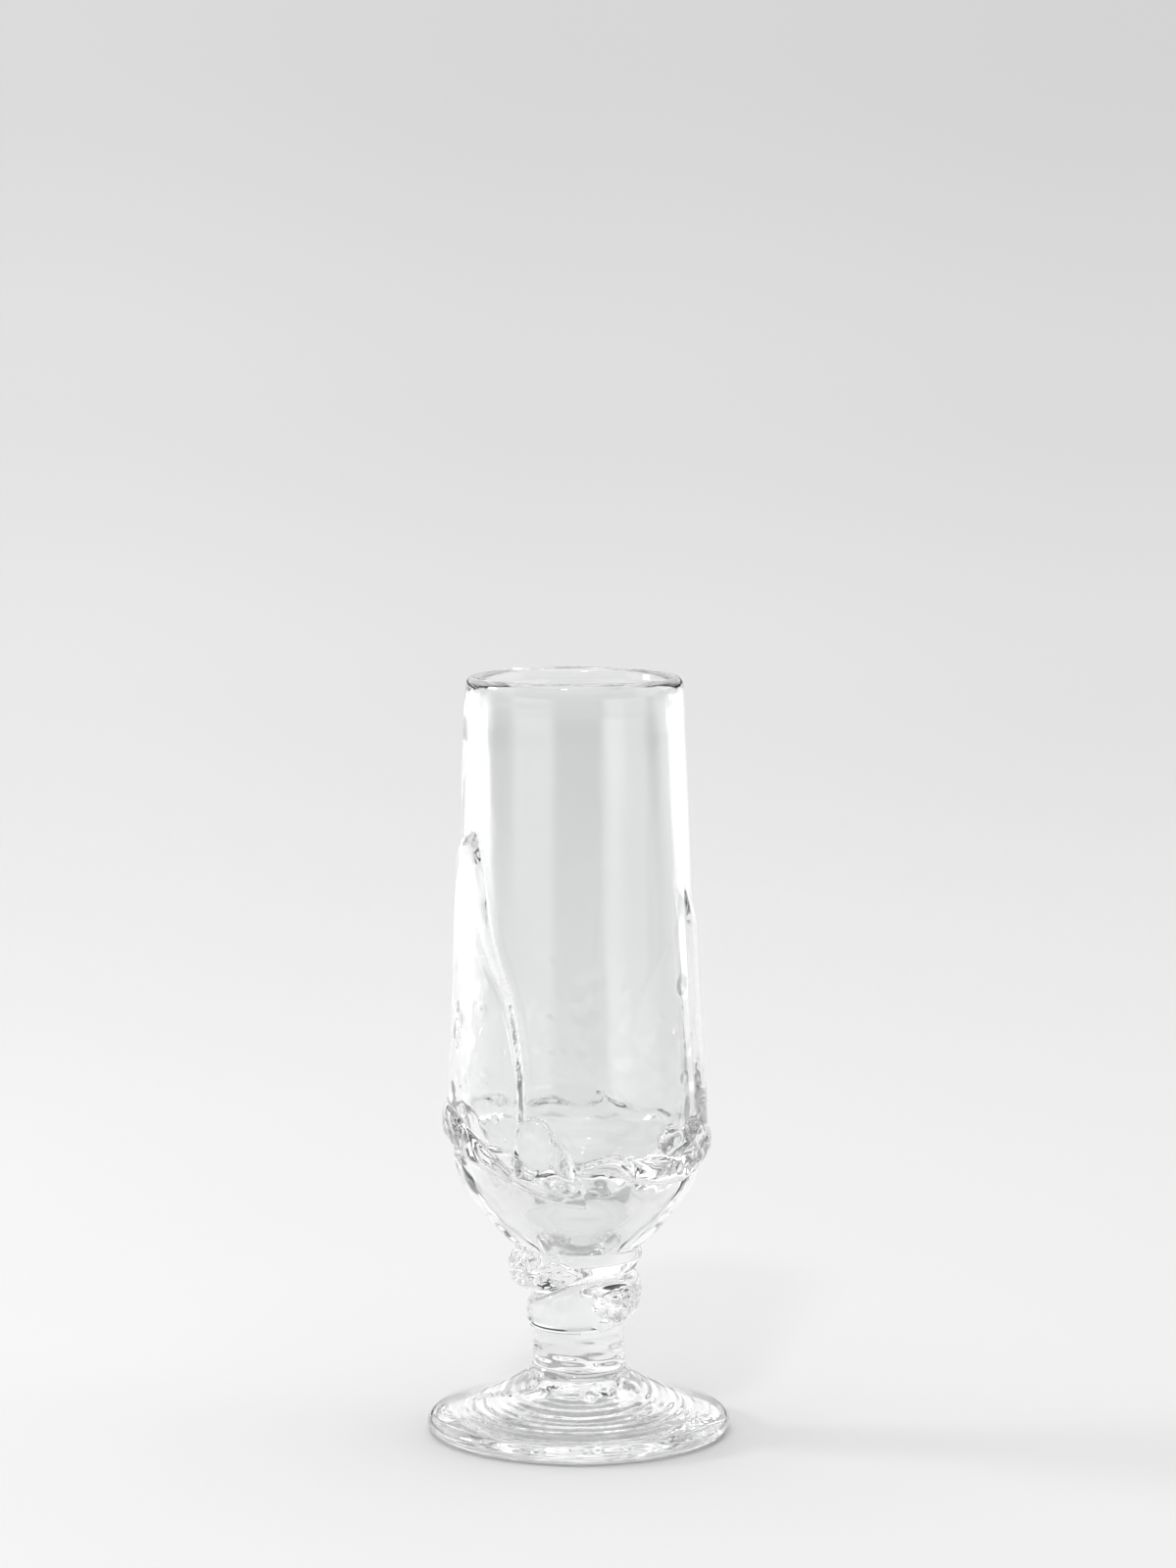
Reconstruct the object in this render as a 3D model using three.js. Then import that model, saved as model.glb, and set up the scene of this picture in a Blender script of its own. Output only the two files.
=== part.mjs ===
// A hand-blown glass goblet: a foot, a stem with a trail wound round it, and a tall cup that carries a trail,
// two pointed leaves and two lumps. Millimetres, +Z up, standing on Z = 0. The front of the goblet faces -Y.
// An azimuth is an angle in degrees round the axis, 0 at the front and growing towards the right (+X).

import * as THREE from 'three';

const { degToRad, radToDeg, lerp } = THREE.MathUtils;

// Driving dimensions

const fusedGap = 0.3; // between pieces that are fused on the real goblet

const footDiameter = 72;
const footEdgeHeight = 4.8;
const footRise = 14;
const footSeatRadius = 12;
const restingRingWidth = 5.5;
const footHollowDepth = 7;

const stemHeight = 29;
const stemRadius = 10.6;
const stemFlare = 0.9; // how far the stem's two ends spread

const stemTrailThickness = 3.8;
const stemTrailFloor = 7; // plain stem left below the trail
const stemTrailHeadroom = 0.7; // plain stem left above it
const stemTrailTurnGap = 0.8;
const stemTrailStart = -150;
const stemTrailSweep = 620;

const bowlHeight = 136.4;
const bowlSeatRadius = 12;
const bellyRadius = 30.4;
const bellyHeight = 22.4; // the widest level, above the bowl's seat
const rimRadius = 26.3;
const wallThickness = 3.5;
const cavityFloorHeight = 3.2;
const cavityFloorDepth = 25.8; // from the straight part of the cavity down to its floor

// The bowl trail's course from end to end: azimuth, height above the belly, half its own height, thickness.
const bowlTrailStations = [
  { azimuth: 8, aboveBelly: -10.4, halfHeight: 0.9, thickness: 0.8 },
  { azimuth: -18, aboveBelly: -4.4, halfHeight: 2, thickness: 1.7 },
  { azimuth: -45, aboveBelly: 1, halfHeight: 2.7, thickness: 2.2 },
  { azimuth: -90, aboveBelly: 6, halfHeight: 4.2, thickness: 2.6 },
  { azimuth: -180, aboveBelly: 4.2, halfHeight: 4, thickness: 2.5 },
  { azimuth: -270, aboveBelly: 0.8, halfHeight: 2.6, thickness: 2.4 },
  { azimuth: -300, aboveBelly: -1.6, halfHeight: 2.1, thickness: 2.4 },
  { azimuth: -330, aboveBelly: -2, halfHeight: 1.8, thickness: 1.8 },
  { azimuth: -356, aboveBelly: 0.2, halfHeight: 0.9, thickness: 0.8 },
];

const leafThickness = 1.7;
const leafEdgeThickness = 0.5;
const leafSeatGap = 0.6; // above the trail, whose edge is curved
const leftLeaf = { tip: -64, root: -72, halfAngle: 44, belowRim: 35.4 };
const rightLeaf = { tip: 84, root: 118, halfAngle: 41, belowRim: 50.4 };

const pruntThickness = 2.9;
const pruntLeafGap = 1.5;
const frontPrunt = { halfWidth: 4.1, halfHeight: 6, trailGap: 2.2 };
const rightPrunt = { halfWidth: 7.2, halfHeight: 4.1, trailGap: 0.8 };

// Form of the hot-worked surfaces, as plain ratios

const bottomFullness = 1.8; // how full the bowl's rounded bottom is
const bottomRoundness = 0.8;
const bellyBend = 0.06; // how gently the belly turns into the taper above it
const cavityTaper = 0.65; // power by which the cavity narrows down to its floor
const leafSpread = 0.45; // power by which a leaf widens from its tip
const trailEndShare = 0.3; // what is left of the stem trail's size at its two ends
const trailTaperShare = 0.12; // part of its length in which each end tapers
const backEdgeShare = 0.15; // what is left of a round back's thickness at its edges

// Facets

const roundFacets = 48;
const arcSteps = 6;
const bowlBottomSteps = 7;
const bowlWallSteps = 7;
const stemSteps = 8;

function clearGlass(colour, roughness) {
  return new THREE.MeshStandardMaterial({ color: colour, roughness, metalness: 0 });
}

function namedMesh(name, geometry, material) {
  const mesh = new THREE.Mesh(geometry, material);
  mesh.name = name;
  return mesh;
}

// Shares from 0 to 1 in even steps, both ends included.
function evenShares(steps) {
  return Array.from({ length: steps + 1 }, (_, step) => step / steps);
}

// A solid of revolution round Z. Its profile of [radius, height] points starts and ends on the axis.
function turnedSolid(name, profile, material) {
  const points = profile.map(([radius, height]) => new THREE.Vector2(radius, height));
  const geometry = new THREE.LatheGeometry(points, roundFacets);
  geometry.rotateX(Math.PI / 2);
  return namedMesh(name, geometry, material);
}

// A rounded edge in a profile: points on an arc between two angles, its ends left out.
function edgeArc(centreRadius, centreHeight, arcRadius, fromDegrees, toDegrees) {
  return evenShares(arcSteps).slice(1, -1).map((share) => {
    const angle = degToRad(lerp(fromDegrees, toDegrees, share));
    return [centreRadius + arcRadius * Math.cos(angle), centreHeight + arcRadius * Math.sin(angle)];
  });
}

// The point at a distance off a turned wall, measured square to the wall.
function offWall(wallRadius, azimuth, height, distance) {
  const probe = 0.01;
  const slope = (wallRadius(height + probe) - wallRadius(height - probe)) / (2 * probe);
  const length = Math.hypot(1, slope);
  const radius = wallRadius(height) + distance / length;
  const angle = degToRad(azimuth);
  return [radius * Math.sin(angle), -radius * Math.cos(angle), height - (distance * slope) / length];
}

// A bit of glass laid on a turned wall. place(along, across) gives its azimuth and height there, and
// thickness(along, across) how far it stands up. along runs from 0 to 1 and across from -1 to 1.
function laidBit(name, wallRadius, alongSteps, acrossSteps, place, thickness, material) {
  const positions = [];
  const addSide = (rise) => {
    for (const along of evenShares(alongSteps)) {
      for (const acrossShare of evenShares(acrossSteps)) {
        const across = 2 * acrossShare - 1;
        const { azimuth, height } = place(along, across);
        positions.push(...offWall(wallRadius, azimuth, height, fusedGap + rise(along, across)));
      }
    }
  };
  addSide(() => 0);
  addSide(thickness);
  const rows = alongSteps + 1;
  const columns = acrossSteps + 1;
  const geometry = new THREE.BufferGeometry();
  geometry.setAttribute('position', new THREE.Float32BufferAttribute(positions, 3));
  geometry.setIndex(slabTriangles(rows, columns, outwardTurn(positions, rows, columns)));
  geometry.computeVertexNormals();
  return namedMesh(name, geometry, material);
}

// 1 where a grid's quads, taken across first, face away from the axis, and -1 where they face towards it.
function outwardTurn(positions, rows, columns) {
  const middle = Math.floor(rows / 2) * columns + Math.floor(columns / 2);
  const corner = (index) => new THREE.Vector3().fromArray(positions, 3 * index);
  const origin = corner(middle);
  const acrossEdge = corner(middle + 1).sub(origin);
  const alongEdge = corner(middle + columns).sub(origin);
  const outward = new THREE.Vector3(origin.x, origin.y, 0);
  return Math.sign(acrossEdge.cross(alongEdge).dot(outward));
}

// Triangles that close two grids of points, the under side and then the over side, into one slab.
function slabTriangles(rows, columns, turn) {
  const triangles = [];
  const overStart = rows * columns;
  const addQuad = (a, b, c, d, way) => {
    triangles.push(...(way > 0 ? [a, b, c, a, c, d] : [c, b, a, d, c, a]));
  };
  for (let row = 0; row + 1 < rows; row += 1) {
    for (let column = 0; column + 1 < columns; column += 1) {
      const first = row * columns + column;
      const quad = [first, first + 1, first + 1 + columns, first + columns];
      addQuad(...quad.map((index) => index + overStart), turn);
      addQuad(...quad, -turn);
    }
  }
  const edge = gridEdge(rows, columns);
  edge.forEach((under, step) => {
    const next = edge[(step + 1) % edge.length];
    addQuad(under, next, next + overStart, under + overStart, turn);
  });
  return triangles;
}

// A grid's outer points, once round.
function gridEdge(rows, columns) {
  const edge = [];
  for (let column = 0; column + 1 < columns; column += 1) edge.push(column);
  for (let row = 0; row + 1 < rows; row += 1) edge.push(row * columns + columns - 1);
  for (let column = columns - 1; column > 0; column -= 1) edge.push((rows - 1) * columns + column);
  for (let row = rows - 1; row > 0; row -= 1) edge.push(row * columns);
  return edge;
}

// A round-backed section: 1 in the middle, and down to a share of that at the two edges.
function roundBack(across, edgeShare) {
  return lerp(edgeShare, 1, Math.sqrt(Math.max(0, 1 - across * across)));
}

// Foot: a low cone with a round edge, which stands on a flat ring round a hollow.

function makeFoot() {
  const edgeRadius = footEdgeHeight / 2;
  const edgeCentre = footDiameter / 2 - edgeRadius;
  const ringInner = edgeCentre - restingRingWidth;
  const hollow = new THREE.QuadraticBezierCurve(
    new THREE.Vector2(0, footHollowDepth),
    new THREE.Vector2(ringInner / 2, footHollowDepth),
    new THREE.Vector2(ringInner, 0),
  );
  const top = new THREE.QuadraticBezierCurve(
    new THREE.Vector2(edgeCentre, footEdgeHeight),
    new THREE.Vector2((edgeCentre + footSeatRadius) / 2, lerp(footEdgeHeight, footRise, 1 / 3)),
    new THREE.Vector2(footSeatRadius, footRise),
  );
  const points = (curve) => curve.getPoints(arcSteps).map((point) => [point.x, point.y]);
  const profile = [
    ...points(hollow),
    [edgeCentre, 0],
    ...edgeArc(edgeCentre, edgeRadius, edgeRadius, -90, 90),
    ...points(top),
    [0, footRise],
  ];
  return turnedSolid('foot', profile, clearGlass(0xf2f4f4, 0.04));
}

// Stem: a solid column that spreads a little at both ends.

function stemWall(height) {
  const fromMiddle = (2 * height) / stemHeight - 1;
  return stemRadius + stemFlare * fromMiddle ** 4;
}

function makeStem() {
  const side = evenShares(stemSteps).map((share) => [stemWall(share * stemHeight), share * stemHeight]);
  return turnedSolid('stem', [[0, 0], ...side, [0, stemHeight]], clearGlass(0xeef1f1, 0.05));
}

// Stem trail: one thick trail wound up the stem, as wide as its turns leave room for.

function makeStemTrail() {
  const room = stemHeight - stemTrailFloor - stemTrailHeadroom;
  const turnShare = 360 / stemTrailSweep; // of the climb, from one turn to the next
  const width = (room * turnShare - stemTrailTurnGap) / (1 + turnShare);
  const taper = (along) => {
    const fromEnd = Math.min(along, 1 - along) / trailTaperShare;
    return lerp(trailEndShare, 1, Math.min(1, fromEnd));
  };
  const place = (along, across) => ({
    azimuth: stemTrailStart + stemTrailSweep * along,
    height: stemTrailFloor + width / 2 + (room - width) * along + (across * taper(along) * width) / 2,
  });
  const thickness = (along, across) => stemTrailThickness * taper(along) * roundBack(across, backEdgeShare);
  return laidBit('stem_trail', stemWall, 44, 6, place, thickness, clearGlass(0xe9eded, 0.06));
}

// Bowl: the blown cup, with a rounded bottom, a slow taper to the rim and a bead all round the mouth.

function bowlWall(height) {
  if (height < bellyHeight) {
    const below = 1 - Math.max(0, height) / bellyHeight;
    return lerp(bowlSeatRadius, bellyRadius, (1 - below ** bottomFullness) ** bottomRoundness);
  }
  const above = (height - bellyHeight) / (bowlHeight - bellyHeight);
  const bent = (share) => Math.hypot(share, bellyBend) - bellyBend;
  return lerp(bellyRadius, rimRadius, bent(above) / bent(1));
}

const cavityStraightFrom = cavityFloorHeight + cavityFloorDepth;

function cavityWall(height) {
  if (height >= cavityStraightFrom) return bowlWall(height) - wallThickness;
  const aboveFloor = Math.max(0, height - cavityFloorHeight) / cavityFloorDepth;
  return (bowlWall(cavityStraightFrom) - wallThickness) * aboveFloor ** cavityTaper;
}

function makeBowl() {
  const beadRadius = wallThickness / 2;
  const beadHeight = bowlHeight - beadRadius;
  const bottomHeights = evenShares(bowlBottomSteps).map((share) => bellyHeight * share ** bottomFullness);
  const wallHeights = evenShares(bowlWallSteps).slice(1).map((share) => lerp(bellyHeight, beadHeight, share));
  const straightHeights = evenShares(bowlWallSteps).map(
    (share) => lerp(beadHeight, cavityStraightFrom, share),
  );
  const floorHeights = evenShares(arcSteps).slice(1).map(
    (share) => cavityStraightFrom - cavityFloorDepth * Math.sin((share * Math.PI) / 2),
  );
  const profile = [
    [0, 0],
    ...[...bottomHeights, ...wallHeights].map((height) => [bowlWall(height), height]),
    ...edgeArc(bowlWall(beadHeight) - beadRadius, beadHeight, beadRadius, 0, 180),
    ...[...straightHeights, ...floorHeights].map((height) => [cavityWall(height), height]),
  ];
  return turnedSolid('bowl', profile, clearGlass(0xf6f7f7, 0.03));
}

// Bowl trail: one trail laid once round the belly, with thin ends that pass each other at the front.

const bowlTrailCourse = new THREE.CatmullRomCurve3(bowlTrailStations.map(
  ({ azimuth, aboveBelly, halfHeight }) => new THREE.Vector3(azimuth, bellyHeight + aboveBelly, halfHeight),
));
const bowlTrailBack = new THREE.SplineCurve(bowlTrailStations.map(
  ({ azimuth, thickness }) => new THREE.Vector2(azimuth, thickness),
));

function makeBowlTrail() {
  const place = (along, across) => {
    const point = bowlTrailCourse.getPoint(along);
    return { azimuth: point.x, height: point.y + across * point.z };
  };
  const thickness = (along, across) => bowlTrailBack.getPoint(along).y * roundBack(across, backEdgeShare);
  return laidBit('bowl_trail', bowlWall, 48, 5, place, thickness, clearGlass(0xe6eaea, 0.06));
}

// The height of the trail's upper edge at an azimuth, found by halving its course, along which azimuths fall.
function bowlTrailTop(azimuth) {
  const turned = azimuth > bowlTrailStations[0].azimuth ? azimuth - 360 : azimuth;
  let before = 0;
  let after = 1;
  for (let halving = 0; halving < 20; halving += 1) {
    const middle = (before + after) / 2;
    if (bowlTrailCourse.getPoint(middle).x > turned) before = middle;
    else after = middle;
  }
  const point = bowlTrailCourse.getPoint(before);
  return point.y + point.z;
}

// Leaves: broad pointed bits that stand on the bowl trail and are drawn up the wall to a tip.

function makeLeaf(name, { tip, root, halfAngle, belowRim }) {
  const tipHalfAngle = 1.5;
  const place = (along, across) => {
    const fall = along ** 2; // rows lie closer together near the tip
    const opening = fall ** leafSpread;
    const azimuth = lerp(tip, root, opening) + across * lerp(tipHalfAngle, halfAngle, opening);
    const rootHeight = bowlTrailTop(azimuth) + leafSeatGap;
    return { azimuth, height: lerp(bowlHeight - belowRim, rootHeight, fall) };
  };
  const fullFrom = 0.4; // share of the leaf's length at which it is fully thick
  const thickness = (along, across) => {
    const fullness = Math.min(1, along / fullFrom) * roundBack(across, 0);
    return lerp(leafEdgeThickness, leafThickness, fullness);
  };
  return laidBit(name, bowlWall, 12, 10, place, thickness, clearGlass(0xeff2f2, 0.05));
}

// Prunts: oval lumps pressed on to the wall, each beside a leaf's root and above the trail.
// side is 1 for a lump to the right of its leaf and -1 for one to the left.

function makePrunt(name, { halfWidth, halfHeight, trailGap }, leaf, side) {
  const tipShare = 0.35; // width left at the lump's top and bottom
  const fromLeaf = radToDeg((pruntLeafGap + halfWidth) / bellyRadius);
  const centre = leaf.root + side * (leaf.halfAngle + fromLeaf);
  const middle = bowlTrailTop(centre) + trailGap + halfHeight;
  const place = (along, across) => {
    const up = 2 * along - 1;
    const height = middle + up * halfHeight;
    const sideways = across * halfWidth * roundBack(up, tipShare);
    return { azimuth: centre + radToDeg(sideways / bowlWall(height)), height };
  };
  const thickness = (along, across) => pruntThickness
    * roundBack(2 * along - 1, backEdgeShare)
    * roundBack(across, backEdgeShare);
  return laidBit(name, bowlWall, 6, 6, place, thickness, clearGlass(0xe2e6e6, 0.05));
}

// The goblet, stacked from the foot up

const stemGroup = new THREE.Group();
stemGroup.position.z = footRise + fusedGap;
stemGroup.add(makeStem(), makeStemTrail());

const bowlGroup = new THREE.Group();
bowlGroup.position.z = stemGroup.position.z + stemHeight + fusedGap;
bowlGroup.add(
  makeBowl(),
  makeBowlTrail(),
  makeLeaf('left_leaf', leftLeaf),
  makeLeaf('right_leaf', rightLeaf),
  makePrunt('front_prunt', frontPrunt, leftLeaf, 1),
  makePrunt('right_prunt', rightPrunt, rightLeaf, -1),
);

const goblet = new THREE.Group();
goblet.add(makeFoot(), stemGroup, bowlGroup);

export default goblet;
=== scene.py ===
"""A tall goblet of clear hand-blown glass, with leaves, wound trails and prunts fused to its cup and stem."""

import bpy
import numpy as np
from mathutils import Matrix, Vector


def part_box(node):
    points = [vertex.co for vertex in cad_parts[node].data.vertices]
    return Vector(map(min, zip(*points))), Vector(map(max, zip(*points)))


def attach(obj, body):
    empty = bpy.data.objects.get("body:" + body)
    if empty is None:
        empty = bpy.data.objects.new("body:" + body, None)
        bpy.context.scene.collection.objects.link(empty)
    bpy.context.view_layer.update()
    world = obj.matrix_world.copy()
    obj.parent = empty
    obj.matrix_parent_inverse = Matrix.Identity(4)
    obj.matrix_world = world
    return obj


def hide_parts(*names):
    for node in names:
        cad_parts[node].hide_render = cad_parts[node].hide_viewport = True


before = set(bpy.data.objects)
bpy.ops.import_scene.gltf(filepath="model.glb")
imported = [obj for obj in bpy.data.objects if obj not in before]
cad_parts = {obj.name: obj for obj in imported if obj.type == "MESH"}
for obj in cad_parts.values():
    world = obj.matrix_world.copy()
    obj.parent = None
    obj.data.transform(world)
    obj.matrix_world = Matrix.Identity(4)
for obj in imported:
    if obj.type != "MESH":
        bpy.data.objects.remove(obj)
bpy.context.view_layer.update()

# Bowl
# The cup is one bubble of clear glass, swung until it hung long, opened at the mouth and fire-polished there.
# Its bottom is left thick, and the stem is fused to it. Its walls wave a little, as hand-blown walls do.

MM = 0.001  # sizes are written in millimetres, and the scene is in metres
COLUMNS = 480  # points round every turned wall
AZIMUTH = (np.arange(COLUMNS) * 360 / COLUMNS + 180) % 360 - 180  # degrees: 0 at the front, 90 at the right

stem_seat_radius = 14.6
stem_seat_lift = 1.2
rim_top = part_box("bowl")[1][2] / MM
bowl_seat = (stem_seat_radius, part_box("bowl")[0][2] / MM + stem_seat_lift)
bowl_lower = [bowl_seat, (16.6, 46.4), (19.4, 49.2), (23.0, 53.7), (26.7, 58.4), (28.7, 62.8), (29.4, 68),
              (29.6, 74), (29.5, 80), (29.0, 90)]
bowl_upper = [(28.1, 108), (27.5, 126), (26.9, 145), (26.3, 163)]
bowl_lip = [(25.9, rim_top - 6), (25.75, rim_top - 3), (25.2, rim_top - 0.9), (24.2, rim_top - 0.05),
            (23.2, rim_top - 0.5), (22.5, rim_top - 2), (22.3, rim_top - 5)]
bowl_inside = [(22.8, 162), (23.6, 142), (24.4, 120)]
bowl_bottom = [(25.2, 100), (25.7, 86), (25.5, 76), (23.4, 69.5), (19.0, 64.4), (15.2, 60), (12.0, 55.4),
               (9.0, 51.8), (5.6, 48.6), (2.6, 47.0), (0.6, 46.6)]
outer_waves = [(0.12, 2, 0.6, 0.4), (0.06, 3, 1.1, 2.0), (0.02, 6, 0.9, 1.0)]
inner_waves = [(0.12, 2, 0.5, 1.9), (0.05, 3, 0.9, 0.3), (0.02, 7, 0.8, 2.7)]
waves_full_radius = 10
steady_height = 12
low_cup_heights = (58, 112)
cup_floor_top = 60
left_patch_heights = (64, 104)
left_patch_reach = (-130, -45)
rim_lean = -1.0
lean_curve = 1.3
fine_step = 0.42
coarse_step = 0.9
bottom_step = 0.7


def smooth_line(x, y):
    """A line without corners through the points (x, y), as a function of x."""
    x = np.asarray(x, float)
    y = np.asarray(y, float)
    slope = np.gradient(y, x)

    def height_at(where):
        where = np.clip(where, x[0], x[-1])
        left = np.clip(np.searchsorted(x, where) - 1, 0, len(x) - 2)
        width = x[left + 1] - x[left]
        t = (where - x[left]) / width
        from_left = (1 - t) ** 2 * ((1 + 2 * t) * y[left] + t * width * slope[left])
        from_right = t ** 2 * ((3 - 2 * t) * y[left + 1] - (1 - t) * width * slope[left + 1])
        return from_left + from_right

    return height_at


def smooth_step(low, high, value):
    """Goes from 0 to 1 as value goes from low to high."""
    t = np.clip((value - low) / (high - low), 0, 1)
    return t * t * (3 - 2 * t)


class Wall:
    """A turned skin of glass: rows of points along its profile, columns round its axis, and the bits on it.

    stretches holds the profile's lines of (radius, height), each with the step between its rows. Bits can be
    laid on the first ones, as many as outside says."""

    def __init__(self, stretches, outside):
        points = np.array([point for line, _ in stretches for point in line], float)
        along = np.append(0, np.cumsum(np.hypot(*np.diff(points, axis=0).T)))
        ends = along[np.cumsum([len(line) for line, _ in stretches]) - 1]
        rows = []
        start = 0
        for end, (_, step) in zip(ends, stretches):
            rows.append(np.linspace(start, end, max(2, round((end - start) / step)), endpoint=False))
            start = end
        rows = np.append(np.concatenate(rows), ends[-1])
        end_rows = np.searchsorted(rows, ends)
        self.outside_end = end_rows[outside - 1]
        self.lip_end = end_rows[min(outside, len(ends) - 1)]
        self.r = smooth_line(along, points[:, 0])(rows)[:, None]
        self.z = smooth_line(along, points[:, 1])(rows)[:, None]
        self.az = AZIMUTH[None, :]
        outward = np.gradient(self.z[:, 0], rows)[:, None]
        upward = -np.gradient(self.r[:, 0], rows)[:, None]
        length = np.hypot(outward, upward)
        self.out = self.turned(outward / length, upward / length)
        self.place = self.turned(self.r, self.z)
        self.rise = np.zeros(self.place.shape[:2])
        self.pieces = []

    def turned(self, r, z):
        angle = np.radians(self.az)
        return np.stack(np.broadcast_arrays(r * np.sin(angle), -r * np.cos(angle), z), axis=-1)

    def push(self, amount):
        """Moves the bare wall along its normal."""
        self.place = self.place + self.out * amount[..., None]

    def skin(self):
        """The outermost surface, with all that is laid on the wall."""
        return self.place + self.out * self.rise[..., None]

    def quads(self):
        """The four corners of every face, as numbers of the wall's points."""
        grid = np.arange(self.rise.size).reshape(self.rise.shape)
        right = np.roll(grid, -1, axis=1)
        return np.stack([grid[:-1], right[:-1], right[1:], grid[1:]], axis=-1)


def hand_waves(wall, waves):
    """Each wave has a height, a number of crests round the glass, crests per 100 mm of height and a phase."""
    total = 0
    for height, crests_round, crests_up, phase in waves:
        turned = np.radians(wall.az) * crests_round
        climbed = wall.z / 100 * 2 * np.pi * crests_up
        total = total + height * np.sin(turned + climbed + phase)
    return total * np.clip(wall.r / waves_full_radius, 0, 1)


def between(value, low, high):
    return (value > low) & (value < high)


def dents(wall, where, count, radii, depth):
    """Shallow dents and swellings, scattered over the points of the wall that where picks."""
    scatter = np.random.default_rng(count)
    centres = wall.place[np.broadcast_to(where, wall.rise.shape)]
    total = np.zeros(wall.rise.shape)
    for centre in centres[scatter.integers(len(centres), size=count)]:
        distance = np.linalg.norm(wall.place - centre, axis=-1) / scatter.uniform(*radii)
        total += scatter.uniform(-depth, depth) * np.clip(1 - distance ** 2, 0, 1) ** 2
    return total


def lean(wall, top_shift, start, top):
    """Tips the upper part of the wall to one side, as a glass leans that was not quite true on the iron."""
    share = np.clip((wall.place[..., 2] - start) / (top - start), 0, 1)
    wall.place[..., 0] += top_shift * share ** lean_curve


glass_ior = 1.5
cord_flattening = 0.4
cord_detail = 2
dullest_polish = 0.03


def clear_glass(name, colour, cord_size, cord_depth):
    """Clear fire-polished glass with cords, the faint streaks of a melt that never mixes quite evenly."""
    material = bpy.data.materials.new(name)
    material.use_nodes = True
    nodes = material.node_tree.nodes
    links = material.node_tree.links
    shader = nodes["Principled BSDF"]
    shader.inputs["Base Color"].default_value = (*colour, 1)
    shader.inputs["Transmission Weight"].default_value = 1
    shader.inputs["IOR"].default_value = glass_ior
    where = nodes.new("ShaderNodeTexCoord")
    drawn = nodes.new("ShaderNodeMapping")
    drawn.inputs["Scale"].default_value = (1, 1, cord_flattening)
    links.new(where.outputs["Object"], drawn.inputs["Vector"])
    cords = nodes.new("ShaderNodeTexNoise")
    cords.inputs["Scale"].default_value = 1 / (cord_size * MM)
    cords.inputs["Detail"].default_value = cord_detail
    links.new(drawn.outputs["Vector"], cords.inputs["Vector"])
    bump = nodes.new("ShaderNodeBump")
    bump.inputs["Strength"].default_value = 1
    bump.inputs["Distance"].default_value = cord_depth * MM
    links.new(cords.outputs["Fac"], bump.inputs["Height"])
    links.new(bump.outputs["Normal"], shader.inputs["Normal"])
    polish = nodes.new("ShaderNodeMapRange")
    polish.inputs["To Min"].default_value = 0
    polish.inputs["To Max"].default_value = dullest_polish
    links.new(cords.outputs["Fac"], polish.inputs["Value"])
    links.new(polish.outputs["Result"], shader.inputs["Roughness"])
    return material


def fused_seam():
    """Where two gathers of hot glass have melted together, light goes straight through."""
    material = bpy.data.materials.new("fused_seam")
    material.use_nodes = True
    nodes = material.node_tree.nodes
    nodes.remove(nodes["Principled BSDF"])
    clear = nodes.new("ShaderNodeBsdfTransparent")
    output = nodes["Material Output"]
    material.node_tree.links.new(clear.outputs["BSDF"], output.inputs["Surface"])
    return material


# The bowl's glass is tinted greyer than the stem's and the trails', though it is one glass. The extra grey is
# painted shade, which darkens the inside of the cup.
bowl_glass = clear_glass("bowl_glass", colour=(0.92, 0.925, 0.925), cord_size=7, cord_depth=0.05)
seam_glass = fused_seam()


def glass_piece(name, material, wall, points, faces, seams, grid):
    """A closed piece of glass: seams tells which faces are fused, grid which wall point a vertex has."""
    mesh = bpy.data.meshes.new(name)
    mesh.from_pydata((points * MM).tolist(), [], faces)
    mesh.materials.append(material)
    mesh.materials.append(seam_glass)
    mesh.shade_smooth()
    piece = bpy.data.objects.new(name, mesh)
    bpy.context.scene.collection.objects.link(piece)
    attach(piece, "root")
    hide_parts(name)
    wall.pieces.append({"mesh": mesh, "seams": seams, "grid": grid})


def turned_piece(name, material, wall, low_fused, high_fused):
    """A turned body of glass between its wall and a small cap at each end of the profile."""
    quads = wall.quads()
    low_centre = np.full(COLUMNS, wall.rise.size)
    low_cap = np.stack([quads[0, :, 1], quads[0, :, 0], low_centre], axis=-1)
    high_cap = np.stack([quads[-1, :, 3], quads[-1, :, 2], low_centre + 1], axis=-1)
    wall.face = np.arange(quads[..., 0].size).reshape(quads.shape[:2])
    wall.owner = np.zeros_like(wall.face)
    cap_centres = wall.place[[0, -1]].mean(axis=1)
    points = np.concatenate([wall.place.reshape(-1, 3), cap_centres])
    faces = quads.reshape(-1, 4).tolist() + low_cap.tolist() + high_cap.tolist()
    seams = np.concatenate([np.zeros(wall.face.size, bool), np.repeat([low_fused, high_fused], COLUMNS)])
    grid = np.append(np.arange(wall.rise.size), [-1, -1])
    glass_piece(name, material, wall, points, faces, seams, grid)


bowl_wall = Wall([(bowl_lower, fine_step), (bowl_upper, coarse_step), (bowl_lip, fine_step),
                  (bowl_inside, coarse_step), (bowl_bottom, bottom_step)], outside=2)
inside = smooth_step(bowl_wall.outside_end, bowl_wall.lip_end, np.arange(len(bowl_wall.r)))[:, None]
free_of_stem = smooth_step(bowl_seat[1], bowl_seat[1] + steady_height, bowl_wall.z)
bowl_wall.push(hand_waves(bowl_wall, outer_waves) * (1 - inside) * free_of_stem)
bowl_wall.push(hand_waves(bowl_wall, inner_waves) * inside)
on_inside = inside > 0.5
low_cup = on_inside & between(bowl_wall.z, *low_cup_heights)
cup_floor = on_inside & (bowl_wall.z < cup_floor_top)
left_patch = on_inside & between(bowl_wall.z, *left_patch_heights) & between(bowl_wall.az, *left_patch_reach)
bowl_wall.push(dents(bowl_wall, low_cup, count=90, radii=(2.0, 5.0), depth=0.16) * inside)
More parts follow.
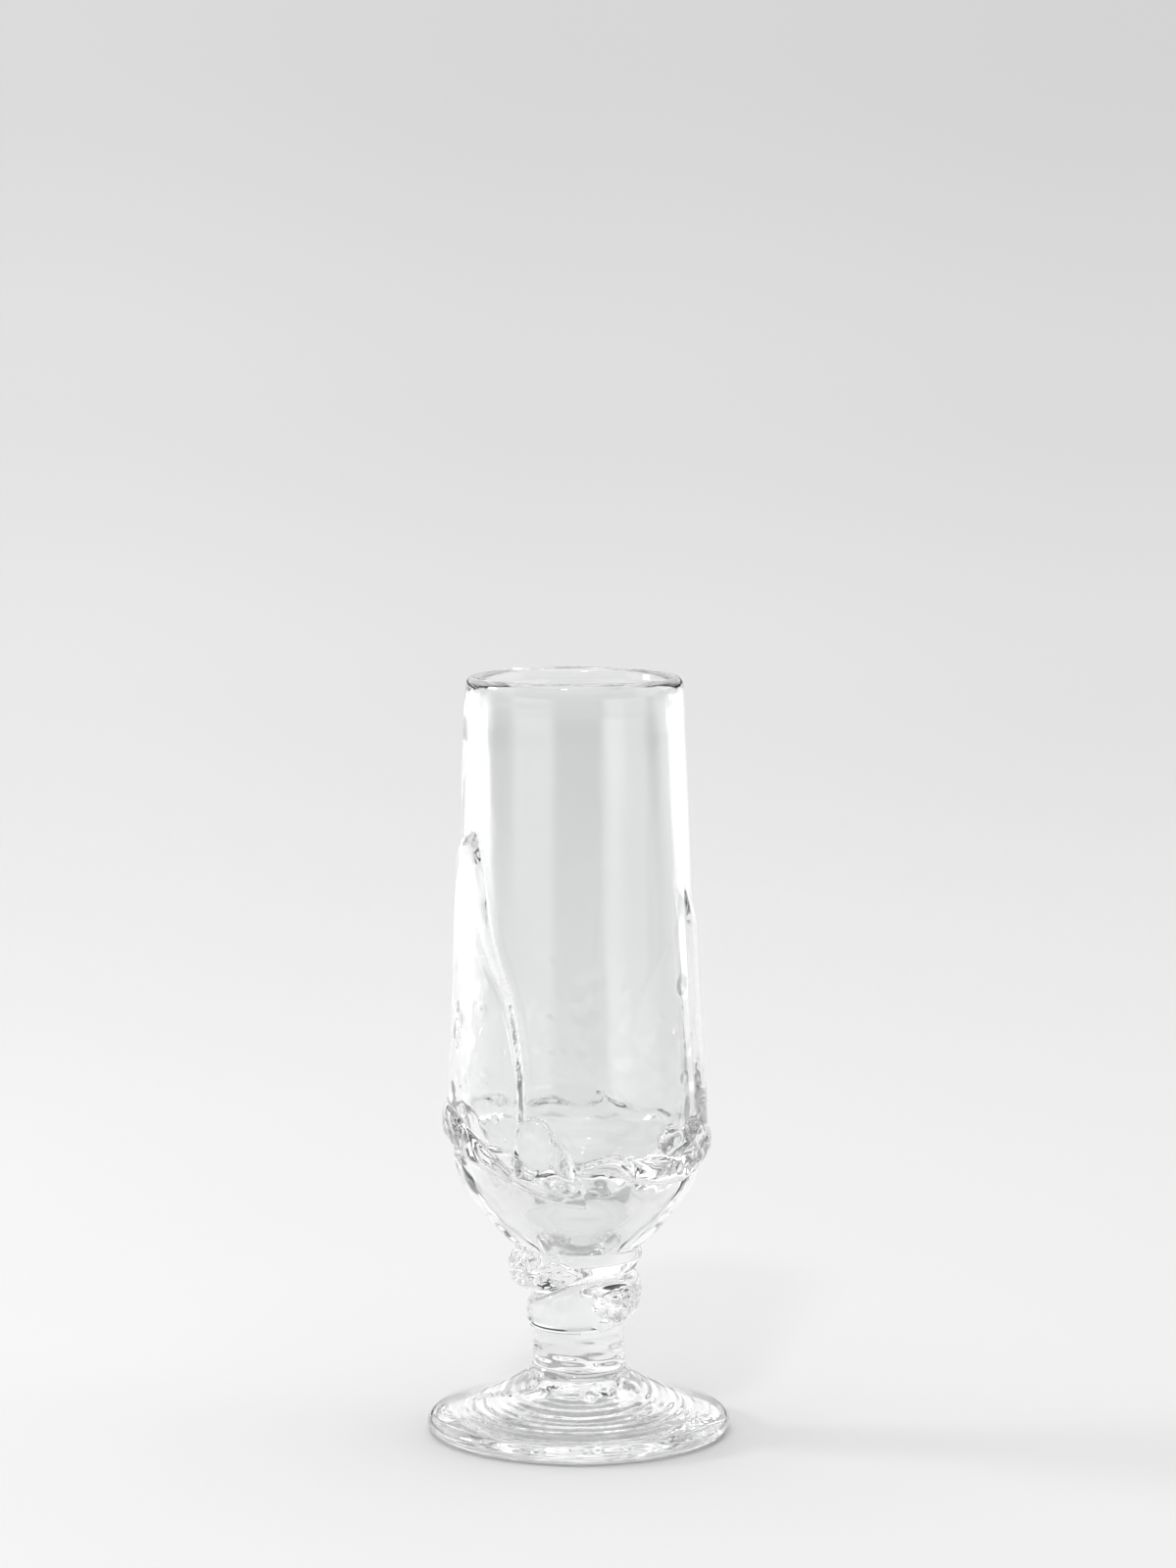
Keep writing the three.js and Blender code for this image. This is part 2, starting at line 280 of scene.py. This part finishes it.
bowl_wall.push(dents(bowl_wall, low_cup, count=70, radii=(0.9, 1.6), depth=0.22) * inside)
bowl_wall.push(dents(bowl_wall, cup_floor, count=26, radii=(4.0, 9.0), depth=0.25) * inside)
bowl_wall.push(dents(bowl_wall, left_patch, count=40, radii=(1.6, 4.0), depth=0.35) * inside)
lean(bowl_wall, rim_lean, bowl_seat[1], rim_top)
turned_piece("bowl", bowl_glass, bowl_wall, low_fused=True, high_fused=False)

# Leaves
# Two flat bits of hot glass, pressed on the lower cup and drawn up its sides to a point with pincers.
# Each thins towards its tip and its back edge, and only the left one has a rolled border at its front edge.

trail_glass = clear_glass("trail_glass", colour=(0.975, 0.98, 0.98), cord_size=5, cord_depth=0.05)
thinnest = 0.02
blend_depth = 0.5
leaf_thickness = smooth_line([70, 100, 125, 138, 146], [1.4, 1.3, 1.2, 1.0, 0.6])
leaf_thinning = smooth_line([70, 100, 125, 146], [12, 10, 5, 2.5])
leaf_roll = smooth_line([70, 100, 108, 120, 146], [1.0, 0.8, 0.4, 0, 0])
left_shoulder = smooth_line([70, 100, 110, 125, 140, 146], [0.9, 1.1, 2.0, 3.2, 3.2, 1.6])
left_front_edge = [(60, -27), (72, -25.5), (82.5, -24.7), (89.3, -25.5), (96, -27.2), (102.7, -29.6),
                   (109.4, -33.1), (113.7, -37.7), (120.2, -43.5), (129, -48), (138, -52.4), (144.6, -60)]
left_back_edge = [(60, -122), (82, -119), (99, -115), (113, -109), (127, -101), (134, -94), (139, -87),
                  (142, -76), (144.6, -60)]
left_border = 1
right_shoulder = smooth_line([70, 100, 120, 132], [3.0, 5.0, 4.0, 1.2])
right_front_edge = [(60, 72), (81.7, 70), (98, 67), (110, 67), (121, 66), (131.8, 66)]
right_back_edge = [(60, 150), (82, 150), (98, 143), (110, 126), (121, 100), (131.8, 66)]
right_border = 0
right_leaf_share = 0.7
leaf_foot_fade = (-1.5, 1)

# The leaves' feet end under the trail round the cup: rows of azimuth, height, half height and thickness.
bowl_trail_course = np.array([
    (-358, 68.4, 0.8, 0.7), (-345, 69.0, 1.9, 1.4), (-333, 67.4, 2.7, 1.8), (-315, 66.6, 3.2, 2.0),
    (-298, 67.0, 3.4, 2.0), (-280, 68.6, 3.5, 1.9), (-262, 70.4, 3.1, 2.0), (-246, 69.0, 3.9, 1.5),
    (-230, 71.0, 3.2, 1.9), (-212, 69.6, 4.1, 1.4), (-197, 71.2, 3.3, 1.9), (-180, 69.8, 4.2, 1.5),
    (-164, 71.4, 3.5, 2.0), (-150, 70.4, 4.3, 1.7), (-130, 72.6, 4.6, 2.4), (-90, 74.4, 5.2, 2.8),
    (-70, 74.4, 5.0, 2.8), (-60, 72.8, 4.8, 2.8), (-48, 70.6, 3.7, 2.5), (-38, 68.2, 2.7, 2.2),
    (-28, 65.2, 2.0, 1.9), (-17, 63.0, 2.0, 1.7), (-7, 61.0, 1.5, 1.2), (3, 59.4, 0.8, 0.6)])
trail_height_at = smooth_line(bowl_trail_course[:, 0], bowl_trail_course[:, 1])
main_turn_ends = 8


def above_trail(wall):
    """How far a point of the wall lies above the middle of the trail, on its main turn."""
    turned = np.where(wall.az > main_turn_ends, wall.az - 360, wall.az)
    return wall.z - trail_height_at(turned)


def laid_over(under, over):
    """The surface of one rise laid over another, with a small fillet where they meet."""
    fillet = np.clip(over, 1e-6, blend_depth)
    meet = np.clip(fillet - np.abs(over - under), 0, None) ** 2 / (4 * fillet)
    both = np.maximum(under, over) + meet
    return np.where((over > 0) & (both - under > thinnest), both, under)


def lay_bit(name, wall, rise):
    """Fuses a bit of glass on a wall: a closed piece between what is there and the new rise."""
    new_rise = laid_over(wall.rise, rise)
    raised = new_rise > wall.rise
    beside = raised | np.roll(raised, -1, axis=1)
    covered = beside[:-1] | beside[1:]
    corners = wall.quads()[covered]
    used = np.unique(corners)
    lifted = used[raised.reshape(-1)[used]]
    top_at = np.zeros(raised.size, int)
    top_at[used] = np.arange(len(used))
    base_at = top_at.copy()
    base_at[lifted] = len(used) + np.arange(len(lifted))
    base = wall.skin().reshape(-1, 3)
    wall.rise = new_rise
    top = wall.skin().reshape(-1, 3)
    points = np.concatenate([top[used], base[lifted]])
    faces = np.concatenate([top_at[corners], base_at[corners][:, ::-1]]).tolist()
    seams = np.repeat([False, True], len(corners))
    for old in np.unique(wall.owner[covered]):
        hidden = covered & (wall.owner == old)
        wall.pieces[old]["seams"][wall.face[hidden]] = True
    wall.owner[covered] = len(wall.pieces)
    wall.face[covered] = np.arange(len(corners))
    grid = np.concatenate([used, np.full(len(lifted), -1)])
    glass_piece(name, trail_glass, wall, points, faces, seams, grid)


def outside_rows(wall):
    """Bits are laid on the outside of the wall only."""
    return np.arange(len(wall.r))[:, None] <= wall.outside_end


def leaf_rise(wall, crisp_edge, soft_edge, turned_to, shoulder, border):
    """A leaf between two edges, each a list of (height, azimuth) from its foot to its tip.

    Over the width of its shoulder it rises from the crisp edge to its thickness, and at the soft edge it
    thins out. border is the share of a rolled border along the crisp edge. turned_to is 1 where the crisp
    edge is on the right of the leaf and -1 where it is on the left."""
    tip = crisp_edge[-1][0]
    inward = []
    for edge, sign in ((crisp_edge, turned_to), (soft_edge, -turned_to)):
        edge_at = smooth_line(*np.transpose(edge))
        across = np.radians(edge_at(wall.z) - wall.az) * wall.r * sign
        slant = np.radians(edge_at(wall.z + 0.5) - edge_at(wall.z - 0.5)) * wall.r
        inward.append(across / np.hypot(1, slant))
    crisp = inward[0] / shoulder(wall.z)
    soft = inward[1] / leaf_thinning(wall.z)
    flat = leaf_thickness(wall.z) * (1 - (1 - np.clip(np.minimum(crisp, soft), 0, 1)) ** 2)
    rolled = border * leaf_roll(wall.z) * np.clip(1 - (crisp - 1) ** 2, 0, 1) * np.clip(soft, 0, 1)
    return np.where((wall.z < tip) & outside_rows(wall), flat + rolled, 0)


leaf_foot = smooth_step(*leaf_foot_fade, above_trail(bowl_wall))
left_leaf = leaf_rise(bowl_wall, left_front_edge, left_back_edge, 1, left_shoulder, left_border)
lay_bit("left_leaf", bowl_wall, leaf_foot * left_leaf)
right_leaf = leaf_rise(bowl_wall, right_front_edge, right_back_edge, -1, right_shoulder, right_border)
lay_bit("right_leaf", bowl_wall, leaf_foot * (right_leaf * right_leaf_share))

# Bowl trail
# One thread of hot glass laid once round the lower cup, over the feet of the leaves. It is thickest at the
# left and melts into the cup at the back, and its drawn-out ends pass each other at the front. Pincers
# creased it in two places.

front_roundness = 0.5
back_roundness = 1.8
melts_between = (100, 135)
end_melt = 1.2
fold_turns = (12, 67, 128)

# Azimuth, height, half width and half height of each creased patch, and the creases' spacing and depth.
bowl_trail_creases = [(-76, 71.5, 13, 7, 6.4, 1.8), (66, 66.5, 12, 5, 6.0, 1.5)]


def wound_rise(wall, course, roundness):
    """A trail along a course of rows (azimuth, height, half height, thickness).

    The azimuth runs on past a full turn. The smaller the roundness, the steeper the trail's edges."""
    azimuth, height, half, thick = course.T
    total = np.zeros(wall.rise.shape)
    for lap in range(-2, 3):
        az = wall.az + 360 * lap
        offset = (wall.z - smooth_line(azimuth, height)(az)) / smooth_line(azimuth, half)(az)
        bulge = smooth_line(azimuth, thick)(az) * np.clip(1 - offset ** 2, 0, 1) ** roundness
        on_course = (az >= azimuth[0]) & (az <= azimuth[-1]) & outside_rows(wall)
        total = np.maximum(total, np.where(on_course, bulge, 0))
    return total * np.sqrt(np.clip((wall.z[wall.outside_end] - wall.z) / end_melt, 0, 1))


def oval_lump(wall, azimuth, height, half_width, half_height, tilt, thickness, roundness):
    """The rise of an oval lump, tilted to the right by an angle."""
    across = np.radians((wall.az - azimuth + 180) % 360 - 180) * wall.r
    up = wall.z - height
    cos, sin = np.cos(np.radians(tilt)), np.sin(np.radians(tilt))
    reach = ((across * cos - up * sin) / half_width) ** 2 + ((across * sin + up * cos) / half_height) ** 2
    return np.where(outside_rows(wall), thickness * np.clip(1 - reach, 0, 1) ** roundness, 0)


def folds(wall, spacing):
    """Small crossing creases, from 0 to 1, as pincers leave them in stiffening glass."""
    around = np.radians(wall.az) * wall.r
    total = 0
    for turn in fold_turns:
        along = around * np.cos(np.radians(turn)) + wall.z * np.sin(np.radians(turn))
        total = total + np.abs(np.sin(np.pi * along / spacing + turn)) / len(fold_turns)
    return total


def pinched(wall, rise, azimuth, height, half_width, half_height, spacing, depth):
    """Creases a laid bit in an oval patch."""
    patch = oval_lump(wall, azimuth, height, half_width, half_height, tilt=0, thickness=1, roundness=1)
    return np.where(rise > 0, np.clip(rise - depth * patch * folds(wall, spacing), thinnest, None), 0)


at_back = smooth_step(*melts_between, np.abs(bowl_wall.az))
bowl_thread_roundness = front_roundness + (back_roundness - front_roundness) * at_back
bowl_thread = wound_rise(bowl_wall, bowl_trail_course, bowl_thread_roundness)
for crease in bowl_trail_creases:
    bowl_thread = pinched(bowl_wall, bowl_thread, *crease)
lay_bit("bowl_trail", bowl_wall, bowl_thread)

# Prunts
# Two lumps of hot glass dropped on the lower cup and left to sag: an oval one beside the left leaf, whose end
# ran down into rings like honey, and a broad one on the right above the trail, creased by the pincers.

# Azimuth, height, half width, half height, tilt, thickness and roundness of each drop.
front_drop = (-19, 74, 4.5, 6.2, -8, 2.6, 0.3)
front_tail = (-7, 70, 2.4, 5.0, -22, 1.6, 0.6)
right_drop = (55, 71.2, 8.4, 4.2, 22, 2.6, 0.5)
right_bead = (64, 73, 4.6, 4.0, 10, 3.0, 0.5)
# Azimuth, height, half width, half height, tilt and thickness of the sagged end.
front_end = (-8, 64.5, 6.5, 3.4, 20, 1.5)
end_rings = 2.5
end_ring_share = 0.3
# Azimuth, height, half width and half height of the creased patch, and the creases' spacing and depth.
right_creases = (58, 71, 10, 6, 6.2, 1.8)


def sagged_end(wall, azimuth, height, half_width, half_height, tilt, thickness):
    """The sagged end of a lump, with a few rings in it like a drop of honey."""
    dome = oval_lump(wall, azimuth, height, half_width, half_height, tilt, thickness=1, roundness=1)
    rings = 0.5 + 0.5 * np.cos(2 * np.pi * end_rings * np.sqrt(1 - dome))
    return thickness * dome * (1 - end_ring_share + end_ring_share * rings)


front_lump = np.maximum(oval_lump(bowl_wall, *front_drop), oval_lump(bowl_wall, *front_tail))
lay_bit("front_prunt", bowl_wall, np.maximum(front_lump, sagged_end(bowl_wall, *front_end)))
right_lump = np.maximum(oval_lump(bowl_wall, *right_drop), oval_lump(bowl_wall, *right_bead))
lay_bit("right_prunt", bowl_wall, pinched(bowl_wall, right_lump, *right_creases))

# Stem
# A short solid column of glass, dropped from the cup's bottom and drawn in at the waist. Its neck, below the
# trail, keeps the faint ridges of the tool that drew it in.

stem_glass = clear_glass("stem_glass", colour=(0.975, 0.98, 0.98), cord_size=6, cord_depth=0.05)
stem_foot_joint = (12.2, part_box("stem")[0][2] / MM)
stem_outside = [stem_foot_joint, (11.3, 15.8), (10.9, 18.5), (10.7, 25), (11.0, 31), (11.6, 37), (12.8, 41.6),
                bowl_seat]
stem_step = 0.28
neck_ridges = [(0.1, 2, 18, 0.3), (0.08, 3, -31, 1.2), (0.05, 5, 43, 2.1)]
neck_starts = (stem_foot_joint[1], stem_foot_joint[1] + 3)
neck_ends = (27, 21)
stem_wall = Wall([(stem_outside, stem_step)], outside=1)
neck = smooth_step(*neck_starts, stem_wall.z) * smooth_step(*neck_ends, stem_wall.z)
stem_wall.push(hand_waves(stem_wall, neck_ridges) * neck)
turned_piece("stem", stem_glass, stem_wall, low_fused=True, high_fused=True)

# Stem trail
# One thick thread wound nearly two turns up the stem, with a lump where the maker paused at the right and
# another where the thread was broken off at the upper left. Both lumps are creased by the pincers.

# Rows of azimuth, height, half height and thickness.
stem_trail_course = np.array([
    (-150, 27.0, 2.0, 0.6), (-100, 28.6, 3.3, 1.4), (-55, 29.3, 3.9, 1.8), (0, 31.7, 6.2, 2.5),
    (35, 32.5, 6.6, 3.2), (70, 32.8, 6.0, 3.9), (100, 33.4, 5.5, 3.6), (150, 35.0, 5.0, 3.0),
    (200, 37.0, 4.8, 3.2), (250, 39.0, 4.9, 4.0), (290, 40.2, 5.0, 4.6), (320, 40.6, 4.8, 4.2),
    (345, 41.2, 4.0, 3.0), (375, 41.8, 3.2, 2.4), (420, 42.0, 3.0, 2.1), (470, 42.3, 2.2, 0.8)])
stem_thread_roundness = 0.32
# Azimuth, height, half width and half height of each creased patch, and the creases' spacing and depth.
stem_trail_creases = [(-46, 42.0, 10, 5.5, 3.8, 4.4), (52, 31, 8, 6, 3.8, 4.2)]
stem_thread = wound_rise(stem_wall, stem_trail_course, stem_thread_roundness)
for crease in stem_trail_creases:
    stem_thread = pinched(stem_wall, stem_thread, *crease)
lay_bit("stem_trail", stem_wall, stem_thread)

# Foot
# A disc of glass opened out of a gather below the stem and pressed to a low cone. Its edge is round, and it
# stands on a narrow ring round a hollow, which keeps the rings of its turning. Its top is dented at the front
# of the stem's root.

foot_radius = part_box("foot")[1][0] / MM
foot_underside = [(0.6, 7.0), (6, 6.5), (11, 4.9), (14, 3.7), (20, 1.9), (26, 0.7), (28.6, 0.15)]
foot_edge = [(30.2, 0.0), (foot_radius - 3.2, 0.0), (foot_radius - 1.3, 0.5), (foot_radius - 0.2, 1.8),
             (foot_radius - 0.2, 3.2), (foot_radius - 1.3, 4.6), (foot_radius - 3.2, 5.3)]
foot_cone = [(28, 6.7), (22.5, 9.0), (17.5, 11.4), (14.2, 13.2), stem_foot_joint]
foot_step = 0.5
turning_rings = [(0.06, 2.4, 0.0), (0.06, 3.7, 1.0)]
root_radii = (13, 17.5)
root_reach = (-50, 60)
root_blend = 3
underside_middle = 3
rows_to_ring = 6
rows_from_edge = 8
foot_wall = Wall([(foot_underside, foot_step), (foot_edge, fine_step), (foot_cone, foot_step)], outside=1)
row = np.arange(len(foot_wall.r))[:, None]
under = 1 - smooth_step(foot_wall.outside_end - rows_to_ring, foot_wall.outside_end, row)
above = smooth_step(foot_wall.lip_end, foot_wall.lip_end + rows_from_edge, row)
above = above * smooth_step(0, root_blend, foot_wall.r - stem_foot_joint[0])
underside = (under > 0.5) & (foot_wall.r > underside_middle)
foot_wall.push(dents(foot_wall, underside, count=60, radii=(2.0, 6.0), depth=0.1) * under)
for depth, spacing, phase in turning_rings:
    foot_wall.push(depth * np.sin(2 * np.pi * foot_wall.r / spacing + phase) * under)
stem_root = between(foot_wall.r, *root_radii) & between(foot_wall.az, *root_reach) & (above > 0)
foot_wall.push(dents(foot_wall, stem_root, count=36, radii=(1.2, 2.8), depth=0.3) * above)
foot_wall.push(dents(foot_wall, above > 0.5, count=50, radii=(4.0, 9.0), depth=0.1) * above)
foot_wall.place[..., 2] = np.maximum(foot_wall.place[..., 2], 0)
turned_piece("foot", stem_glass, foot_wall, low_fused=False, high_fused=True)

# Fire polish
# The finished goblet goes back to the fire, which melts its skin smooth. So every bare face of glass gets the
# normals of the one skin, and the faces that are fused to another piece get the clear seam.


def fire_polish(walls):
    """Works out the one skin of the walls, which meet end to end, and hands each piece its normals."""
    skin = np.concatenate([walls[0].skin()] + [wall.skin()[1:] for wall in walls[1:]])
    round_it = np.roll(skin, -1, axis=1) - np.roll(skin, 1, axis=1)
    up_it = np.gradient(skin, axis=0)
    normal = np.cross(round_it, up_it)
    normal /= np.linalg.norm(normal, axis=-1, keepdims=True)
    start = 0
    for wall in walls:
        own = normal[start:start + len(wall.r)].reshape(-1, 3)
        start += len(wall.r) - 1
        for part in wall.pieces:
            polish_piece(part["mesh"], part["seams"], part["grid"], own)


def polish_piece(mesh, seams, grid, skin_normal):
    """Gives a piece its seams, and the skin's normals where it lies bare."""
    corner = np.zeros(len(mesh.loops), np.int32)
    mesh.loops.foreach_get("vertex_index", corner)
    sides = np.zeros(len(mesh.polygons), np.int32)
    mesh.polygons.foreach_get("loop_total", sides)
    flat = np.zeros(len(mesh.polygons) * 3, np.float32)
    mesh.polygons.foreach_get("normal", flat)
    mesh.polygons.foreach_set("material_index", seams.astype(np.int32))
    flat = np.repeat(flat.reshape(-1, 3), sides, axis=0)
    fused = np.repeat(seams, sides)
    under_corner = grid[corner]
    bare = (under_corner >= 0) & ~fused
    normals = np.where(bare[:, None], skin_normal[under_corner], flat)
    mesh.normals_split_custom_set(normals.tolist())


fire_polish([foot_wall, stem_wall, bowl_wall])

# Floor
# A wide sheet of pale matt paper that the goblet stands on, with a film of air between. Far out it thins
# away, grain by grain, into the backdrop of the same tone.

floor_reach = 2.0
air_film = 0.06 * MM
paper_full = 0.35
paper_gone = 1.6
paper_tones = (0.86, 0.88)
mottle_per_metre = 3


def pale_paper():
    """Matt paper with a faint mottle."""
    material = bpy.data.materials.new("pale_paper")
    material.use_nodes = True
    nodes = material.node_tree.nodes
    links = material.node_tree.links
    shader = nodes["Principled BSDF"]
    shader.inputs["Roughness"].default_value = 1
    shader.inputs["Specular IOR Level"].default_value = 0
    where = nodes.new("ShaderNodeTexCoord")
    mottle = nodes.new("ShaderNodeTexNoise")
    mottle.inputs["Scale"].default_value = mottle_per_metre
    links.new(where.outputs["Object"], mottle.inputs["Vector"])
    tone = nodes.new("ShaderNodeValToRGB")
    for stop, level in zip(tone.color_ramp.elements, paper_tones):
        stop.color = (level, level, level, 1)
    links.new(mottle.outputs["Fac"], tone.inputs["Fac"])
    links.new(tone.outputs["Color"], shader.inputs["Base Color"])
    distance = nodes.new("ShaderNodeVectorMath")
    distance.operation = "LENGTH"
    links.new(where.outputs["Object"], distance.inputs[0])
    left_over = nodes.new("ShaderNodeMapRange")
    left_over.interpolation_type = "SMOOTHSTEP"
    left_over.inputs["From Min"].default_value = paper_full
    left_over.inputs["From Max"].default_value = paper_gone
    left_over.inputs["To Min"].default_value = 1
    left_over.inputs["To Max"].default_value = 0
    links.new(distance.outputs["Value"], left_over.inputs["Value"])
    grains = nodes.new("ShaderNodeTexWhiteNoise")
    links.new(where.outputs["Object"], grains.inputs["Vector"])
    kept = nodes.new("ShaderNodeMath")
    kept.operation = "GREATER_THAN"
    links.new(left_over.outputs["Result"], kept.inputs[0])
    links.new(grains.outputs["Value"], kept.inputs[1])
    links.new(kept.outputs["Value"], shader.inputs["Alpha"])
    return material


floor_mesh = bpy.data.meshes.new("floor")
floor_sides = [(-1, -1), (1, -1), (1, 1), (-1, 1)]
floor_corners = [(x * floor_reach, y * floor_reach, -air_film) for x, y in floor_sides]
floor_mesh.from_pydata(floor_corners, [], [(0, 1, 2, 3)])
floor_mesh.materials.append(pale_paper())
floor = bpy.data.objects.new("floor", floor_mesh)
bpy.context.scene.collection.objects.link(floor)

# Light
# A pale studio round the glass: a backdrop, bright walls with a dark strip low down, a dark room in front
# with a low window at each side and a pale ground, and a bright ceiling inside a dark band. Clear glass shows
# the dark parts as dark lines and the bright ones as white bands. Two soft boxes stand left and in front.

dado_tone = 0.03
ground_tone = 0.85
dark_tone = 0.02
band_tone = 0.06
ceiling_tone = 1.42
world = bpy.data.worlds.new("studio")
bpy.context.scene.world = world
world.use_nodes = True
sky = world.node_tree.nodes
sky_links = world.node_tree.links
direction = sky.new("ShaderNodeTexCoord")
axes = sky.new("ShaderNodeSeparateXYZ")
sky_links.new(direction.outputs["Generated"], axes.inputs["Vector"])


def sky_ramp(value, levels):
    """Grey levels against a value: levels is a list of (value, level), from low to high."""
    low = levels[0][0]
    high = levels[-1][0]
    reach = sky.new("ShaderNodeMapRange")
    reach.inputs["From Min"].default_value = low
    reach.inputs["From Max"].default_value = high
    sky_links.new(value, reach.inputs["Value"])
    ramp = sky.new("ShaderNodeValToRGB")
    ramp.color_ramp.interpolation = "EASE"
    sky_links.new(reach.outputs["Result"], ramp.inputs["Fac"])
    stops = ramp.color_ramp.elements
    while len(stops) < len(levels):
        stops.new(0.5)
    for stop, (at, level) in zip(stops, levels):
        stop.position = (at - low) / (high - low)
        stop.color = (level, level, level, 1)
    return ramp.outputs["Color"]


def sky_mix(first, second, share):
    """Goes from the first level to the second as share goes from 0 to 1."""
    mix = sky.new("ShaderNodeMix")
    mix.data_type = "RGBA"
    sky_links.new(share, mix.inputs["Factor"])
    sky_links.new(first, mix.inputs["A"])
    sky_links.new(second, mix.inputs["B"])
    return mix.outputs["Result"]


def sky_product(first, second):
    product = sky.new("ShaderNodeVectorMath")
    product.operation = "MULTIPLY"
    sky_links.new(first, product.inputs[0])
    sky_links.new(second, product.inputs[1])
    return product.outputs["Vector"]


def sky_bearing():
    """The bearing of a direction in degrees: 0 straight behind the glass, 90 to its right."""
    turn = sky.new("ShaderNodeMath")
    turn.operation = "ARCTAN2"
    sky_links.new(axes.outputs["X"], turn.inputs[0])
    sky_links.new(axes.outputs["Y"], turn.inputs[1])
    degrees = sky.new("ShaderNodeMath")
    degrees.operation = "DEGREES"
    sky_links.new(turn.outputs["Value"], degrees.inputs[0])
    return degrees.outputs["Value"]


bearing = sky_bearing()
height = axes.outputs["Z"]
walls = sky_ramp(bearing, [
    (-180, dark_tone), (-164, dark_tone), (-150, 1.8), (-120, 1.8), (-105, 0.3), (-66, 0.5), (-48, 1.5),
    (-14, 1.5), (-9, 0.95), (12, 0.9), (20, 1.0), (27, 1.5), (46, 1.5), (62, 0.5), (92, 0.3), (104, 1.6),
    (122, 1.6), (132, 2.6), (144, 2.6), (154, dark_tone), (180, dark_tone)])
upper_walls = sky_ramp(bearing, [
    (-180, dark_tone), (-118, dark_tone), (-104, 1), (-60, 1.1), (60, 1.1), (104, 1), (118, dark_tone),
    (180, dark_tone)])
above_dado = sky_ramp(height, [(0.1, 0), (0.13, 1)])
dado = sky_ramp(height, [(-1, dado_tone), (1, dado_tone)])
above_table = sky_ramp(height, [(0, 0), (0.03, 1)])
beside = sky_ramp(bearing, [(-108, 0), (-96, 1), (90, 1), (100, 0)])
backdrop = sky_ramp(height, [
    (-0.2, 0.9), (-0.15, 0.88), (-0.085, 0.82), (-0.024, 0.765), (0.05, 0.71), (0.09, 0.71), (0.16, 1),
    (0.4, 1)])
side_fall = sky_ramp(bearing, [(-30, 1), (-7, 1), (0, 0.96), (7, 0.93), (30, 0.9)])
behind = sky_ramp(bearing, [(-14, 0), (-7, 1), (7, 1), (14, 0)])
ground = sky_ramp(height, [(-1, ground_tone), (1, ground_tone)])
in_front = sky_ramp(axes.outputs["Y"], [(-0.3, 1), (0, 0)])
low_down = sky_ramp(height, [(-0.1, 1), (-0.04, 0)])
ceiling = sky_ramp(height, [(0.3, band_tone), (0.74, band_tone), (0.8, ceiling_tone), (1, ceiling_tone)])
overhead = sky_ramp(height, [(0.62, 0), (0.70, 1)])
studio = sky_mix(walls, dado, sky_product(above_table, beside))
studio = sky_mix(studio, upper_walls, above_dado)
studio = sky_mix(studio, sky_product(backdrop, side_fall), behind)
studio = sky_mix(studio, ground, sky_product(in_front, low_down))
studio = sky_mix(studio, ceiling, overhead)
sky_links.new(studio, sky["Background"].inputs["Color"])

glass_middle = Vector((0, 0, 0.1))


def soft_box(name, place, side, power):
    """A square soft box that faces the glass."""
    lamp = bpy.data.lights.new(name, "AREA")
    lamp.shape = "SQUARE"
    lamp.size = side
    lamp.energy = power
    box = bpy.data.objects.new(name, lamp)
    box.location = place
    box.rotation_euler = (glass_middle - Vector(place)).to_track_quat("-Z", "Y").to_euler()
    bpy.context.scene.collection.objects.link(box)


soft_box("key_box", place=(-1.2, 0.2, 0.55), side=0.25, power=4)
soft_box("front_box", place=(-0.3, -1.3, 1.6), side=0.18, power=4)

# Camera
# It stands about a metre in front of the goblet, higher than the rim, and looks slightly down. Light bends
# many times in the glass and passes many seams, so both kinds of bounce go deep.

photo_height = 1600
focal_pixels = 4740
sensor = 36
camera_place = (0.0022, -1.0827, 0.272)
camera_dip = 6.2
nearest_view = 0.01
glass_bounces = 32
seam_bounces = 256
camera_data = bpy.data.cameras.new("camera")
camera_data.sensor_width = sensor
camera_data.lens = sensor * focal_pixels / photo_height
camera_data.clip_start = nearest_view
camera = bpy.data.objects.new("camera", camera_data)
camera.location = camera_place
camera.rotation_euler = (np.radians(90 - camera_dip), 0, 0)
scene = bpy.context.scene
scene.collection.objects.link(camera)
scene.camera = camera
scene.view_settings.view_transform = "Standard"
scene.cycles.max_bounces = glass_bounces
scene.cycles.transmission_bounces = glass_bounces
scene.cycles.glossy_bounces = glass_bounces
scene.cycles.transparent_max_bounces = seam_bounces
